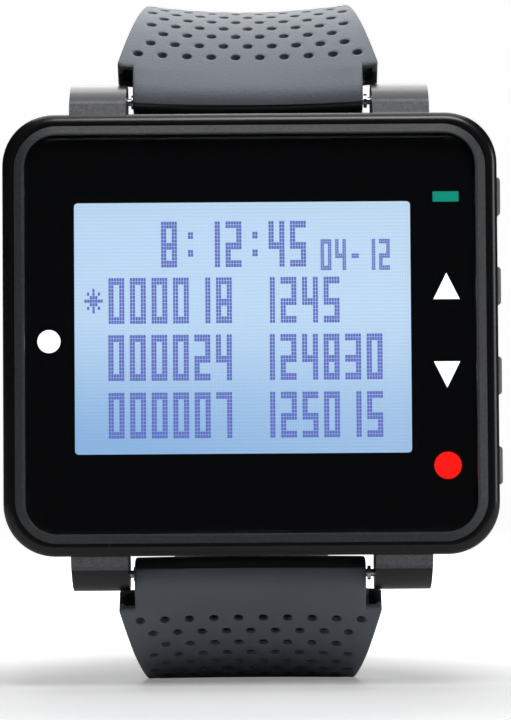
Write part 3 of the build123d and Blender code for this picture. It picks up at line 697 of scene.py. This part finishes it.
def rubber_material():
    """Dull grained rubber. The band under the barrel's parting line is smooth, glossy and dark. The hollows
    in the shoulders get painted shade in the same dark, smooth finish, and the floor of the lower half's
    dimples gets painted shade, all told by place."""
    material, out = blank("strap_rubber")
    tree = material.node_tree
    place = put(tree, "TexCoord").outputs["Object"]
    axis = put(tree, "SeparateXYZ", {0: place})
    up = maths(tree, "SUBTRACT", axis.outputs["Z"], HEAD_Z)
    high = maths(tree, "ABSOLUTE", up)
    low_side = maths(tree, "LESS_THAN", high, PARTING * MM)
    ahead = maths(tree, "LESS_THAN", axis.outputs["Y"], FRONT_Y + 10 * MM)
    under = maths(tree, "MULTIPLY", low_side, ahead)
    aside = maths(tree, "ABSOLUTE", axis.outputs["X"])
    beside = maths(tree, "GREATER_THAN", aside, 12.35 * MM)
    side_view = put(tree, "CombineXYZ", {"Y": axis.outputs["Y"], "Z": high})
    reach = put(tree, "VectorMath", {
        0: side_view.outputs[0], 1: (0, FRONT_Y + NEAR_Y * MM, NEAR_Z * MM)}, operation="SUBTRACT")
    bend = put(tree, "VectorMath", {0: reach.outputs[0]}, operation="LENGTH")
    # Painted shade: the hollows at the shoulders' ends, beside the barrel, take the dark colour and the
    # smooth finish of the glossy band.
    within = maths(tree, "COMPARE", bend.outputs["Value"], NEAR_R * MM, 1.1 * MM)
    slope = radians(SHOULDER - 90)
    along = put(tree, "VectorMath", {
        0: reach.outputs[0], 1: (0, cos(slope), sin(slope))}, operation="DOT_PRODUCT")
    at_end = maths(tree, "LESS_THAN", along.outputs["Value"], 0.8 * MM)
    hollow = maths(tree, "MULTIPLY", within, at_end)
    hollow = maths(tree, "MULTIPLY", hollow, beside)
    # The glossy band under the barrel, together with the painted shade in the hollows.
    polish_and_hollow_shade = maths(tree, "MAXIMUM", under, hollow)
    fine = put(tree, "Group", {}, node_tree=GRAIN)
    tree.links.new(place, fine.inputs["Place"])
    fine.inputs["Size"].default_value = 0.18 * MM
    plain = maths(tree, "SUBTRACT", 1.0, polish_and_hollow_shade)
    height = maths(tree, "MULTIPLY", fine.outputs["Height"], plain)
    bump = put(tree, "Bump", {"Height": height, "Strength": 1.0, "Distance": 0.03 * MM})
    rough = put(tree, "Mix", {"Factor": polish_and_hollow_shade})
    rough.inputs["A"].default_value, rough.inputs["B"].default_value = 0.54, 0.2
    soft = put(tree, "Group", {}, node_tree=DRIFT)
    tree.links.new(place, soft.inputs["Place"])
    tree.links.new(rough.outputs["Result"], soft.inputs["Roughness"])
    # Painted shade: near the bend, the floors of the lower half's dimples take the dark colour; the upper
    # half's dimples are left to their real shading.
    pits = maths(tree, "COMPARE", bend.outputs["Value"], 28.8 * MM, 0.8 * MM)
    width = maths(tree, "MULTIPLY_ADD", along.outputs["Value"], -0.12, 13.0 * MM)
    inside = maths(tree, "LESS_THAN", aside, width)
    before_flat = maths(tree, "LESS_THAN", along.outputs["Value"], 16 * MM)
    below = maths(tree, "LESS_THAN", up, 0.0)
    past_end = maths(tree, "GREATER_THAN", along.outputs["Value"], 0.9 * MM)
    for other in (inside, before_flat, below, past_end):
        pits = maths(tree, "MULTIPLY", pits, other)
    dark = maths(tree, "MAXIMUM", polish_and_hollow_shade, pits)
    tone = put(tree, "Mix", {0: dark, 6: RUBBER, 7: POLISH_AND_SHADE}, data_type="RGBA")
    tree.links.new(tone.outputs[2], soft.inputs["Colour"])
    soft.inputs["Amount"].default_value = 0.18
    shade = put(tree, "BsdfPrincipled", {
        "Base Color": soft.outputs["Colour"], "Roughness": soft.outputs["Roughness"],
        "Normal": bump.outputs[0],
        "Sheen Weight": 0.15, "Sheen Roughness": 0.5, "Sheen Tint": (0.85, 0.93, 1.0, 1)})
    tree.links.new(shade.outputs["BSDF"], out.inputs["Surface"])
    return material


rubber = rubber_material()
start = (NEAR_Y + NEAR_R * cos(radians(SHOULDER)), NEAR_Z + NEAR_R * sin(radians(SHOULDER)))
near_length = NEAR_R * radians(SHOULDER - 90)
top_path = follow([(near_length, NEAR_R), (FAR_R * radians(90), FAR_R)], start, SHOULDER - 90)
near_outer = near_length * (1 + THICK / 2 / NEAR_R)
far_outer = (FAR_R + THICK / 2) * radians(90)


def near_half(share, shoulder=2.85):
    """Half-width, easing from the shoulder at 0 to the top of the loop at 1."""
    return 11.1 + shoulder * np.clip(1 - share, 0, 1) ** 1.6


def top_half(s):
    """Upper strap: eases beside the lugs, then narrows evenly to a plain width."""
    return near_half(s / near_outer, 2.9) - 0.1 - np.clip((s - near_outer) / 11.6, 0, 1) * 1.12


def fading(first, fade_from, fade_to):
    """A saddle height that is first until fade_from and falls to nothing at fade_to."""
    return lambda s: first * np.clip((fade_to - s) / (fade_to - fade_from), 0, 1)


SLOT_LONG, SLOT_HALF = 6.5, 1.8
leg_half = (10 - SLOT_HALF) / 2
body_long = near_outer + far_outer - SLOT_LONG
top_saddle = fading(SADDLE[1], near_outer - 4, near_outer + 10)
main = band(top_path, 1, body_long, top_half, top_saddle, 12, (0.45, 0.1))
legs = [band(top_path, 1, SLOT_LONG + 0.6, lambda s: leg_half + 0 * s, fading(0, 0, 1), 0, (0.1, 1.2),
             x_mid=side * (SLOT_HALF + leg_half), start=body_long - 0.6) for side in (-1, 1)]
bar_at = JOINT["buckle_swing"]["pos_m"]
turn = np.linspace(0, 2 * np.pi, 40, endpoint=False)


def eye(side):
    """Round eye of the strap about the buckle bar: a circle carried across, with eased ends."""
    x = np.array([SLOT_HALF, SLOT_HALF + 0.12, SLOT_HALF + 0.4, 9.6, 9.88, 10.0]) * MM * side
    r = np.array([1.62, 1.8, 1.9, 1.9, 1.8, 1.62]) * MM
    x, r, a = np.broadcast_arrays(x[:, None], r[:, None], turn[None])
    return np.stack([x, bar_at[1] + r * np.cos(a), bar_at[2] + r * np.sin(a)], -1)


solid("strap_upper_rubber", *joined(main, tongue(1), *legs, eye(-1), eye(1)), "upper_strap", "strap_rubber",
      rubber, stands_for=["strap_upper"])

EASE_A, EASE_R = 14.0, 10.0
FLAT_END, TAIL_R, TIP = 66.0, 32.0, 8.0
flat_from = NEAR_Y - (NEAR_R - EASE_R) * sin(radians(EASE_A))
low_path = follow([(NEAR_R * radians(SHOULDER - 90 - EASE_A), NEAR_R), (EASE_R * radians(EASE_A), EASE_R),
                   (FLAT_END - flat_from, 1e9), (TAIL_R * radians(90), TAIL_R), (TIP, 1e9)],
                  start, SHOULDER - 90)
low_length = low_path[0][-1]
low_near = (NEAR_R + THICK / 2) * radians(SHOULDER - 90)
low_flat = low_near + FLAT_END - flat_from


def low_half(s):
    """Lower strap: eases beside the lugs, narrows to the end of the flat, and ends in a round tip."""
    plain = near_half(s / low_near) - np.clip((s - low_near) / (low_flat - low_near), 0, 1) * 1.1
    into = np.clip((s - (low_length - 6)) / 6, 0, 0.999)
    return plain - 6 * (1 - np.sqrt(1 - into ** 2))


tail = band(low_path, -1, low_length, low_half, fading(SADDLE[-1], 8.0, 21.0), 12, (0.45, 0.8))
HOLE_R, HOLE_FIRST, HOLE_STEP = 1.15, 20, 11.5   # adjusting holes: radius, first angle up the tail, step


def hole_pin(i):
    """Round pin square through the tail's bend: a circle across the strap, at two lifts."""
    ring = np.radians(np.arange(0, 360, 10))
    at = low_flat + (TAIL_R + THICK / 2) * radians(HOLE_FIRST + HOLE_STEP * i)
    lift = np.array([-3.0, 3.0])[:, None]
    middle = place_points(low_path, -1, at, 0.0, lift)
    ahead = place_points(low_path, -1, at + 0.01, 0.0, 0.0) - place_points(low_path, -1, at, 0.0, 0.0)
    ahead = ahead / np.linalg.norm(ahead)
    across = np.array([1.0, 0, 0])
    return middle + HOLE_R * MM * (np.cos(ring)[None, :, None] * across + np.sin(ring)[None, :, None] * ahead)


def drilled(points, faces, pins):
    """The mesh less its pins, worked out once by an exact boolean."""
    parts = []
    for name, (some, sides) in (("blank", (points, faces)), ("pins", joined(*pins))):
        mesh = bpy.data.meshes.new(name)
        mesh.from_pydata(some.tolist(), [], sides)
        shell = bmesh.new()
        shell.from_mesh(mesh)
        bmesh.ops.recalc_face_normals(shell, faces=shell.faces)
        shell.to_mesh(mesh)
        shell.free()
        parts.append(bpy.data.objects.new(name, mesh))
        scene.collection.objects.link(parts[-1])
    cut = parts[0].modifiers.new("holes", "BOOLEAN")
    cut.operation, cut.object, cut.solver = "DIFFERENCE", parts[1], "EXACT"
    done = bpy.data.meshes.new_from_object(parts[0].evaluated_get(bpy.context.evaluated_depsgraph_get()))
    points = np.array([vertex.co for vertex in done.vertices])
    faces = [list(face.vertices) for face in done.polygons]
    for part in parts:
        bpy.data.objects.remove(part)
    return points, faces


tail_points, tail_faces = drilled(*closed(tail), [hole_pin(i) for i in range(7)])
barrel_points, barrel_faces = closed(tongue(-1), len(tail_points))
solid("strap_lower_rubber", np.concatenate([tail_points, barrel_points]), tail_faces + barrel_faces,
      "lower_strap", "strap_rubber", rubber, stands_for=["strap_lower"])

# ---- keepers ----
# Two moulded loops of the same rubber. The first is fixed to the strap by the buckle, the second slides.
# Each has room inside for the strap and for its tail, and rounded corners and edges.
def keeper(name, angle, fit, body):
    """Loop round the strap, centred an angle down from the top: a rounded-rectangle path in width and
    distance from the bend's centre, with a rounded wall section carried round it."""
    wall, wide, corner, ease = 1.3, 5.0, 1.1, 0.45
    half_x = 10 + fit + wall / 2
    low, high = FAR_R - THICK / 2 - fit - wall / 2, FAR_R + THICK / 2 + fit + 3.7 + wall / 2
    quarter = np.radians(np.linspace(0, 90, 7))
    turn = np.concatenate([quarter + np.radians(90 * k) for k in range(4)] + [[0]])
    pick_x = np.repeat([1, -1, -1, 1], 7) * (half_x - corner)
    pick_r = (low + high) / 2 + np.repeat([1, 1, -1, -1], 7) * ((high - low) / 2 - corner)
    pick_x, pick_r = np.r_[pick_x, pick_x[0]], np.r_[pick_r, pick_r[0]]
    about = turn[:-1]
    off = np.repeat([1, -1, -1, 1], 7) * (wall / 2 - ease) + ease * np.cos(about)
    run = np.repeat([1, 1, -1, -1], 7) * (wide / 2 - ease) + ease * np.sin(about)
    x = pick_x[:, None] + (corner + off) * np.cos(turn)[:, None]
    r = pick_r[:, None] + (corner + off) * np.sin(turn)[:, None]
    a = np.radians(90 - angle) + run / FAR_R
    bend_at = JOINT["keeper_slide"]["pos_m"]
    loops = np.stack([x * MM, bend_at[1] + r * np.cos(a) * MM, bend_at[2] + r * np.sin(a) * MM], -1)
    points, faces = closed(loops)
    solid(name, points, faces[:-2], body, "strap_rubber", rubber, stands_for=[name.removesuffix("_loop")])


keeper("keeper_fixed_loop", 68, 0.0, "upper_strap")
keeper("keeper_free_loop", 48, 0.3, "keeper")

# ---- buckle ----
# A satin stainless frame on its own bar, with a stamped prong.
satin = surface("satin_steel", (0.60, 0.60, 0.61), 0.32, grain=0.01, size=0.4, stretch=(1, 1, 14),
                Metallic=1.0)
paint(satin, "buckle_frame", "buckle_prong")
